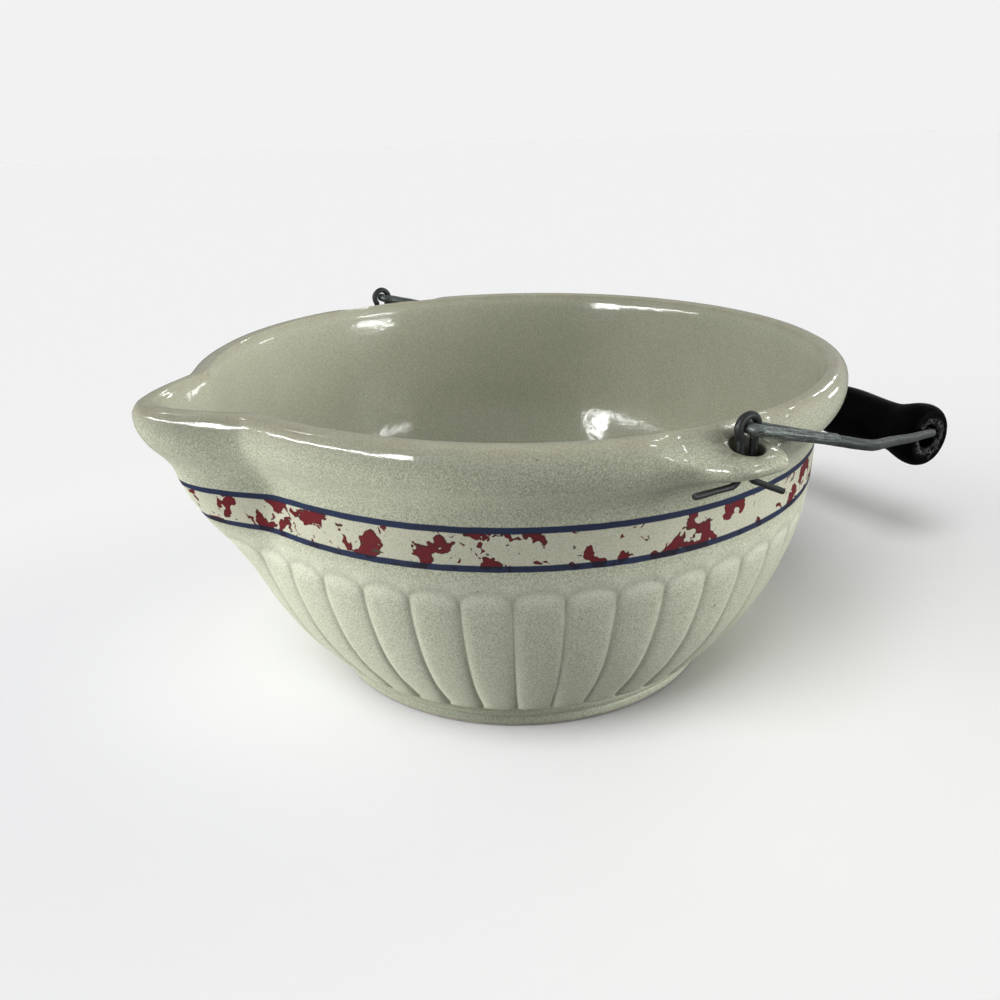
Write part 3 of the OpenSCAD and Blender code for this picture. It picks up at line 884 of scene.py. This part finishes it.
    # --- bare clay on the standing edge and in the hollow of the foot
    bare = m.math("MULTIPLY", m.remap(z, 1.2, 2.0, 1.0, 0.0), 1.0)
    bare = m.math("MAXIMUM", bare, m.math("MULTIPLY", m.remap(z, 5.6, 5.2), m.remap(radius, 69.8, 70.2, 1.0, 0.0)))
    clay = m.mix(m.remap(mottle, 0.3, 0.7), lin((176, 170, 158)), lin((148, 146, 142)))
    base = m.mix(bare, base, clay)
    m.set("Base Color", base)

    # --- gloss: satin outside, wet inside and over the roll
    sheen_up = m.remap(z, 92.0, 108.0, smooth=True)
    gloss = m.math("MAXIMUM", inside, sheen_up)
    rough = m.blend(gloss, 0.46, 0.11)
    rough = m.math("ADD", rough, m.math("MULTIPLY", m.math("SUBTRACT", mottle, 0.5), m.blend(gloss, 0.18, 0.06)))
    rough = m.math("ADD", rough, m.math("MULTIPLY", m.math("MAXIMUM", bare, m.attr("hole")), 0.45))
    m.set("Roughness", rough)
    m.set("IOR", 1.47)
    # orange-peel ripple of the fired glaze, and the fine grain
    peel = m.noise(co, 230.0, 2.0, 0.5)
    swell = m.noise(co, 75.0, 2.0, 0.5)
    n1 = m.bump(swell, 0.3, 0.0009)
    n2 = m.bump(peel, 0.3, 0.0003, n1)
    n3 = m.bump(grain, 0.10, 0.00012, n2)
    m.set("Normal", n3)
    return m.mat


def wire_material(name, tone, seed):
    m = Nodes(name)
    co = m.coord()
    along, c, s = m.attr("along"), m.attr("cosine"), m.attr("sine")
    # streaks drawn along the wire
    uv = m.join(m.math("MULTIPLY", along, 0.035), m.math("MULTIPLY", c, 1.0), m.math("MULTIPLY", s, 1.0))
    uv = m.vec("ADD", uv, (seed, seed * 0.3, 0))
    streak = m.noise(uv, 4.2, 4.0, 0.65)
    fine = m.noise(m.vec("ADD", m.join(m.math("MULTIPLY", along, 0.12), c, s), (seed, 2.0, 1.0)), 11.0, 3.0, 0.6)
    blotch = m.noise(co, 240.0, 4.0, 0.6)
    fold = m.attr("fold")
    dull = m.ramp(streak, [(0.3, lin([v * 0.72 for v in tone])), (0.5, lin(tone)), (0.7, lin([min(255, v * 1.22) for v in tone]))])
    drawn = m.ramp(streak, [(0.32, lin([v * 0.55 for v in tone])), (0.48, lin([v * 1.15 for v in tone])), (0.62, lin([min(255, v * 1.8) for v in tone]))])
    drawn = m.mix(m.remap(fine, 0.54, 0.66, 0.0, 0.6), drawn, lin((214, 216, 210)))
    col = m.mix(fold, dull, drawn)
    col = m.mix(m.remap(blotch, 0.5, 0.7, 0.0, 0.5), col, lin([v * 0.6 for v in tone]))
    rust = m.noise(co, 700.0, 3.0, 0.6)
    col = m.mix(m.remap(rust, 0.62, 0.76, 0.0, 0.35), col, lin((74, 64, 52)))
    m.set("Base Color", col)
    m.set("Metallic", m.blend(fold, 0.55, 0.75))
    m.set("Roughness", m.remap(m.math("ADD", m.math("MULTIPLY", streak, 0.6), m.math("MULTIPLY", blotch, 0.4)), 0.3, 0.7, 0.36, 0.6))
    h = m.math("ADD", m.math("MULTIPLY", streak, m.blend(fold, 0.25, 0.8)), m.math("MULTIPLY", m.noise(co, 1100.0, 3.0), 0.4))
    m.set("Normal", m.bump(h, 0.4, 0.00025))
    return m.mat


def paint_material():
    m = Nodes("black_paint")
    co = m.coord()
    wear = m.attr("wear")
    xyz = m.split(co)
    # turning marks ring the grip, with wood grain telegraphing along it
    ring = m.noise(m.join(0.0, m.math("MULTIPLY", xyz[1], 1.0), 0.0), 1500.0, 2.0, 0.6)
    grainy = m.noise(m.vec("MULTIPLY", co, (1.0, 0.07, 1.0)), 900.0, 3.0, 0.55)
    cloud = m.noise(co, 130.0, 3.0, 0.55)
    col = m.ramp(cloud, [(0.3, lin((2, 2, 2))), (0.7, lin((5, 5, 5)))])
    chip = m.noise(co, 520.0, 4.0, 0.65)
    worn = m.remap(m.math("ADD", wear, m.math("MULTIPLY", m.math("SUBTRACT", chip, 0.5), 0.9)), 0.38, 0.62)
    char = m.mix(m.remap(m.noise(co, 620.0, 4.0, 0.65), 0.42, 0.60), lin((14, 15, 15)), lin((92, 93, 92)))
    col = m.mix(worn, col, char)
    scuff = m.math("MULTIPLY", m.remap(m.noise(m.vec("MULTIPLY", co, (1.0, 0.35, 1.0)), 420.0, 4.0, 0.7), 0.64, 0.8), 0.35)
    col = m.mix(scuff, col, lin((30, 30, 30)))
    m.set("Base Color", col)
    m.set("Roughness", m.math("ADD", m.remap(cloud, 0.3, 0.7, 0.42, 0.54), m.math("MULTIPLY", worn, 0.35)))
    m.set("Specular IOR Level", 0.03)
    h = m.math("ADD", m.math("MULTIPLY", ring, 0.35), m.math("ADD", m.math("MULTIPLY", grainy, 0.4), m.math("MULTIPLY", m.math("MULTIPLY", chip, worn), 1.5)))
    m.set("Normal", m.bump(h, 0.5, 0.00025))
    return m.mat


# ---------------------------------------------------------------------------
# build
# ---------------------------------------------------------------------------
bowl = build_bowl()
cut_ears(bowl)
bowl.data.materials.clear()
bowl.data.materials.append(glaze_material())
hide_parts("bowl")
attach(bowl, "bowl")

staple_mat = wire_material("staple_wire", (58, 61, 61), 3.0)
bail_mat = wire_material("bail_wire", (80, 87, 84), 9.0)
staples = []
for side, node in ((-1, "left_ear_staple"), (1, "right_ear_staple")):
    way = staple_path(side)
    ob = tube(node + "_wire", way, LEG_R, 20, (0.3, 0.3), flat=leg_flat(np.linalg.norm(np.diff(way, axis=0), axis=1).sum()), rough=0.10, seed=20 + side)
    ob.data.materials.append(staple_mat)
    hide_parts(node)
    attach(ob, "bowl")
    staples.append(ob)

bail = tube("bail_drawn_wire", bail_path(), WIRE_R, 20, (0.22, 0.22), rough=0.05, seed=40)
bail.data.materials.append(bail_mat)
along = np.zeros(len(bail.data.vertices), np.float32)
bail.data.attributes["along"].data.foreach_get("value", along)
point_values(bail, "fold", np.clip((38.0 - np.minimum(along, along.max() - along)) / 6.0, 0, 1))
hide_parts("bail_wire")
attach(bail, "bail")

grip = build_grip()
grip.data.materials.append(paint_material())
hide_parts("grip")
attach(grip, "grip")

# ---------------------------------------------------------------------------
# floor, light and camera
# ---------------------------------------------------------------------------
floor_me = bpy.data.meshes.new("floor")
S = 6.0
floor_me.from_pydata([(-S, -S, 0), (S, -S, 0), (S, S, 0), (-S, S, 0)], [], [(0, 1, 2, 3)])
floor = bpy.data.objects.new("floor", floor_me)
bpy.context.scene.collection.objects.link(floor)
floor.location.z = -0.0002
f = Nodes("pale_floor")
path = f.t.nodes.new("ShaderNodeLightPath")
# painted shade: the floor is a touch deeper where the lit side of the bowl throws light onto it, to cancel that bounce
# light
lobe = f.vec("DISTANCE", f.coord(), (-0.106, 0.037, 0.0))
seen = f.mix(f.remap(lobe, 0.06, 0.22, 1.0, 0.0, smooth=True), (0.90, 0.90, 0.90, 1), (0.80, 0.80, 0.831, 1))
f.set("Base Color", f.mix(path.outputs["Is Camera Ray"], (0.20, 0.20, 0.20, 1), seen))
f.set("Roughness", 1.0)
f.set("Specular IOR Level", 0.0)
floor.data.materials.append(f.mat)

world = bpy.data.worlds.new("studio")
bpy.context.scene.world = world
world.use_nodes = True
wt = world.node_tree
wt.nodes.clear()
w_out = wt.nodes.new("ShaderNodeOutputWorld")
w_mix = wt.nodes.new("ShaderNodeMixShader")
w_path = wt.nodes.new("ShaderNodeLightPath")
w_seen = wt.nodes.new("ShaderNodeBackground")
w_lit = wt.nodes.new("ShaderNodeBackground")
w_seen.inputs[0].default_value = lin((242, 242, 242))
w_lit.inputs[0].default_value = (1.0, 1.0, 1.0, 1)
w_lit.inputs[1].default_value = 0.27
wt.links.new(w_path.outputs["Is Camera Ray"], w_mix.inputs[0])
wt.links.new(w_lit.outputs[0], w_mix.inputs[1])
wt.links.new(w_seen.outputs[0], w_mix.inputs[2])
wt.links.new(w_mix.outputs[0], w_out.inputs[0])

# camera, from the photograph's perspective
CAM = dict(d=2.9219, h=1.6530, yaw=-0.0194, pitch=0.3874, roll=-0.0270, f=949.97)
turn = Matrix.Rotation(math.radians(-30.8), 3, "Z")
cy, sy, cp, sp = math.cos(CAM["yaw"]), math.sin(CAM["yaw"]), math.cos(CAM["pitch"]), math.sin(CAM["pitch"])
eye = turn @ (Vector((0, -CAM["d"], CAM["h"])) * 0.116)
fwd = Vector((sy * cp, cy * cp, -sp))
rgt = fwd.cross(Vector((0, 0, 1))).normalized()
upv = rgt.cross(fwd)
cr, sr = math.cos(CAM["roll"]), math.sin(CAM["roll"])
r2, u2 = rgt * cr + upv * sr, upv * cr - rgt * sr
fwd, r2, u2 = turn @ fwd, turn @ r2, turn @ u2
cam_data = bpy.data.cameras.new("camera")
cam_data.sensor_width = 36.0
cam_data.lens = 36.0 * CAM["f"] / 1000
cam_data.clip_start = 0.01
cam = bpy.data.objects.new("camera", cam_data)
bpy.context.scene.collection.objects.link(cam)
mat = Matrix((r2, u2, -fwd)).transposed().to_4x4()
mat.translation = eye
cam.matrix_world = mat
bpy.context.scene.camera = cam

side_r = Vector((r2.x, r2.y, 0)).normalized()
side_f = Vector((fwd.x, fwd.y, 0)).normalized()


def toward(right, ahead, up):
    return side_r * right + side_f * ahead + Vector((0, 0, up))


def sun(name, direction, strength, angle, color=(1, 1, 1)):
    """direction: where the light comes from."""
    d = bpy.data.lights.new(name, "SUN")
    d.energy = strength
    d.angle = math.radians(angle)
    d.color = color
    ob = bpy.data.objects.new(name, d)
    ob.rotation_euler = direction.to_track_quat("Z", "Y").to_euler()
    bpy.context.scene.collection.objects.link(ob)
    return ob


def compass(az, el):
    """Unit vector towards a light: az from straight ahead, + to the right, both in degrees."""
    a, e = math.radians(az), math.radians(el)
    return toward(math.sin(a) * math.cos(e), math.cos(a) * math.cos(e), math.sin(e))


pieces = bpy.data.collections.new("lit_pieces")
for ob in [bowl, bail, grip] + staples:
    pieces.objects.link(ob)
ground = bpy.data.collections.new("lit_floor")
ground.objects.link(floor)


def fill(name, az, el, strength, angle, onto=None):
    """Broad light without a mirror image, kept off the other surfaces as flags would do in a studio."""
    ob = sun(name, compass(az, el), strength, angle)
    ob.visible_glossy = False
    if onto:
        ob.light_linking.receiver_collection = onto
        ob.light_linking.blocker_collection = pieces
    return ob


def window(name, az, el, angle, radiance):
    """Bright pane that is seen only as a reflection."""
    ob = sun(name, compass(az, el), radiance * PI * math.sin(math.radians(angle / 2)) ** 2, angle)
    ob.visible_diffuse = False
    return ob


fill("overhead_left", -100, 50, 1.6, 60, pieces)
fill("table_glow_left", -84, -20, 4.0, 30, pieces)
fill("fill_right", 105, 17, 1.88, 40, pieces)
fill("side_right", 76, 5, 1.2, 20, pieces)
fill("floor_light", -150, 55, 1.67, 30, ground)
fill("floor_front", 160, 55, 0.38, 40, ground)
fill("floor_low", -122, 20, 1.08, 40, ground)
fill("floor_side", -92, 22, 0.45, 42, ground)
for i, az in enumerate((-97, -102, -107, -112, -117, -122, -127)):
    window("pane_left_%d" % i, az, 16, 5, 34)
window("pane_left_tall_0", -133, 14, 8, 26)
window("pane_left_tall_1", -139, 14, 8, 26)
window("pane_left_top", -137, 22, 7, 60)
for i, az in enumerate((110, 116, 122)):
    window("pane_right_%d" % i, az, 17, 5, 28)
    window("pane_right_low_%d" % i, az, 3.5, 6, 28)
window("pane_back", 52, 5, 6, 12)
window("pane_far", 30, 20, 5, 20)
window("lamp_high", 41, 42, 5, 14)
window("lamp_left", -66, 50, 5, 20)
window("lamp_right", 85, 50, 6, 20)

scene = bpy.context.scene
scene.view_settings.view_transform = "Standard"
scene.view_settings.look = "None"
